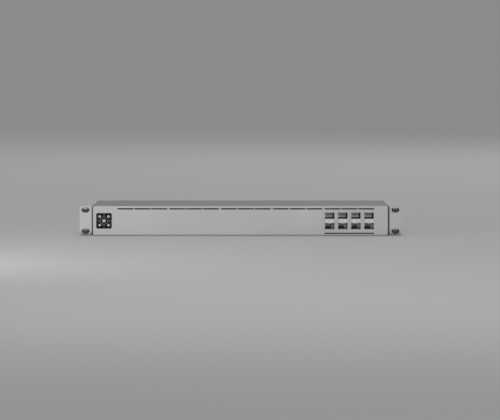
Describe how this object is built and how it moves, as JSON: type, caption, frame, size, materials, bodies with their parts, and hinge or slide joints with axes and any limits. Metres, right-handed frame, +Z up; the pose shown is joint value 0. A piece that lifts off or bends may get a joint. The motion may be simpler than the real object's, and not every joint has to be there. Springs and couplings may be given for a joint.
{
  "type": "rackmount network switch",
  "caption": "Low rackmount network switch in a folded steel case, with a square touch display and stacked transceiver ports in front, and a mains inlet and capped backup socket behind.",
  "frame": {"origin": "centre of the rack screw pattern, on the rear faces of the rack ears", "axes": "+Z up, +X to the right seen from the front, the front panel faces -Y and the rack screws point to +Y"},
  "size_m": [0.4826, 0.2045, 0.0436],
  "materials": {
    "case_grey": "satin powder coat, silver grey",
    "panel_silver": "fine-blasted, satin silver",
    "ear_silver": "satin powder coat, silver",
    "zinc_steel": "bright zinc",
    "dark_steel": "black nickel, satin",
    "black_nylon": "matt black moulding",
    "black_moulding": "fine-grained black moulding",
    "display_glass": "polished, backed in black",
    "tin_plate": "bright tin plate",
    "spring_steel": "bright spring sheet",
    "contact_metal": "nickel plated",
    "clear_resin": "clear moulding",
    "lamp": "clear lamp body",
    "circuit_board": "green solder mask",
    "chip_black": "black resin",
    "chip_lid": "nickel-plated lid",
    "pad_grey": "soft grey pad",
    "sink_black": "black anodised",
    "sink_bare": "mill finish",
    "ferrite": "dull fired ferrite",
    "winding_tape": "yellow winding tape",
    "can_sleeve": "shrink sleeve",
    "film_case": "moulded case",
    "header_white": "natural nylon",
    "ribbon_white": "laminated film",
    "wire_sleeve": "insulated wire",
    "insulator": "thin black sheet",
    "soft_cover": "moulded elastomer",
    "button_white": "moulded"
  },
  "bodies": {
    "chassis": {"base_tray": "case_grey", "rear_panel": "case_grey", "front_frame": "case_grey", "top_cover": "case_grey", "cover_screws": "zinc_steel", "front_panel": "panel_silver", "panel_screws": "zinc_steel", "rack_ear_left": "ear_silver", "rack_ear_right": "ear_silver", "ear_screws": "zinc_steel", "rack_screws": "dark_steel", "slot_inserts": "black_nylon", "display_lens": "display_glass", "display_module": "chip_lid", "display_holder": "black_moulding", "display_board": "circuit_board", "display_screws": "zinc_steel", "display_ribbon": "ribbon_white", "board_headers": "header_white", "sfp_connectors": "black_moulding", "emi_gaskets": "spring_steel", "light_guides": "clear_resin", "port_lamps": "lamp", "main_board": "circuit_board", "switch_chip": "chip_lid", "thermal_pad": "pad_grey", "heat_sink": "sink_black", "heat_sink_screws": "zinc_steel", "chip_packages": "chip_black", "electrolytic_capacitors": "can_sleeve", "standoffs": "zinc_steel", "board_screws": "zinc_steel", "power_board": "circuit_board", "power_insulator": "insulator", "ferrite_cores": "ferrite", "power_windings": "winding_tape", "filter_capacitors": "film_case", "power_heat_sinks": "sink_bare", "power_wires": "wire_sleeve", "ac_inlet": "black_moulding", "inlet_blades": "contact_metal", "backup_socket": "black_moulding", "backup_pins": "contact_metal", "cover_bracket": "dark_steel", "cover_pin": "zinc_steel", "ground_screw": "zinc_steel", "sfp_cage_1": "tin_plate", "sfp_cage_2": "tin_plate", "sfp_cage_3": "tin_plate", "sfp_cage_4": "tin_plate"},
    "reset_plunger": {"reset_button": "button_white"},
    "backup_flap": {"backup_cover": "soft_cover"},
    "latch_1": {"sfp_latch_1": "spring_steel"},
    "latch_2": {"sfp_latch_2": "spring_steel"},
    "latch_3": {"sfp_latch_3": "spring_steel"},
    "latch_4": {"sfp_latch_4": "spring_steel"},
    "latch_5": {"sfp_latch_5": "spring_steel"},
    "latch_6": {"sfp_latch_6": "spring_steel"},
    "latch_7": {"sfp_latch_7": "spring_steel"},
    "latch_8": {"sfp_latch_8": "spring_steel"}
  },
  "joints": [
    {"name": "reset_press", "type": "slide", "parent": "chassis", "child": "reset_plunger", "axis": [0, -1, 0], "range_m": [0, 0.0005], "stiffness_N_per_m": 800},
    {"name": "cover_hinge", "type": "hinge", "parent": "chassis", "child": "backup_flap", "pos_m": [0.062, 0.1973, 0.0013], "axis": [1, 0, 0], "range_deg": [0, 110]},
    {"name": "latch_1_flex", "type": "hinge", "parent": "chassis", "child": "latch_1", "pos_m": [0.13392, 0.00645, 0.00235], "axis": [1, 0, 0], "range_deg": [0, 6], "stiffness_Nm_per_rad": 0.1},
    {"name": "latch_2_flex", "type": "hinge", "parent": "chassis", "child": "latch_2", "pos_m": [0.13392, 0.00645, -0.00335], "axis": [-1, 0, 0], "range_deg": [0, 6], "stiffness_Nm_per_rad": 0.1},
    {"name": "latch_3_flex", "type": "hinge", "parent": "chassis", "child": "latch_3", "pos_m": [0.15357, 0.00645, 0.00235], "axis": [1, 0, 0], "range_deg": [0, 6], "stiffness_Nm_per_rad": 0.1},
    {"name": "latch_4_flex", "type": "hinge", "parent": "chassis", "child": "latch_4", "pos_m": [0.15357, 0.00645, -0.00335], "axis": [-1, 0, 0], "range_deg": [0, 6], "stiffness_Nm_per_rad": 0.1},
    {"name": "latch_5_flex", "type": "hinge", "parent": "chassis", "child": "latch_5", "pos_m": [0.17322, 0.00645, 0.00235], "axis": [1, 0, 0], "range_deg": [0, 6], "stiffness_Nm_per_rad": 0.1},
    {"name": "latch_6_flex", "type": "hinge", "parent": "chassis", "child": "latch_6", "pos_m": [0.17322, 0.00645, -0.00335], "axis": [-1, 0, 0], "range_deg": [0, 6], "stiffness_Nm_per_rad": 0.1},
    {"name": "latch_7_flex", "type": "hinge", "parent": "chassis", "child": "latch_7", "pos_m": [0.19287, 0.00645, 0.00235], "axis": [1, 0, 0], "range_deg": [0, 6], "stiffness_Nm_per_rad": 0.1},
    {"name": "latch_8_flex", "type": "hinge", "parent": "chassis", "child": "latch_8", "pos_m": [0.19287, 0.00645, -0.00335], "axis": [-1, 0, 0], "range_deg": [0, 6], "stiffness_Nm_per_rad": 0.1}
  ]
}
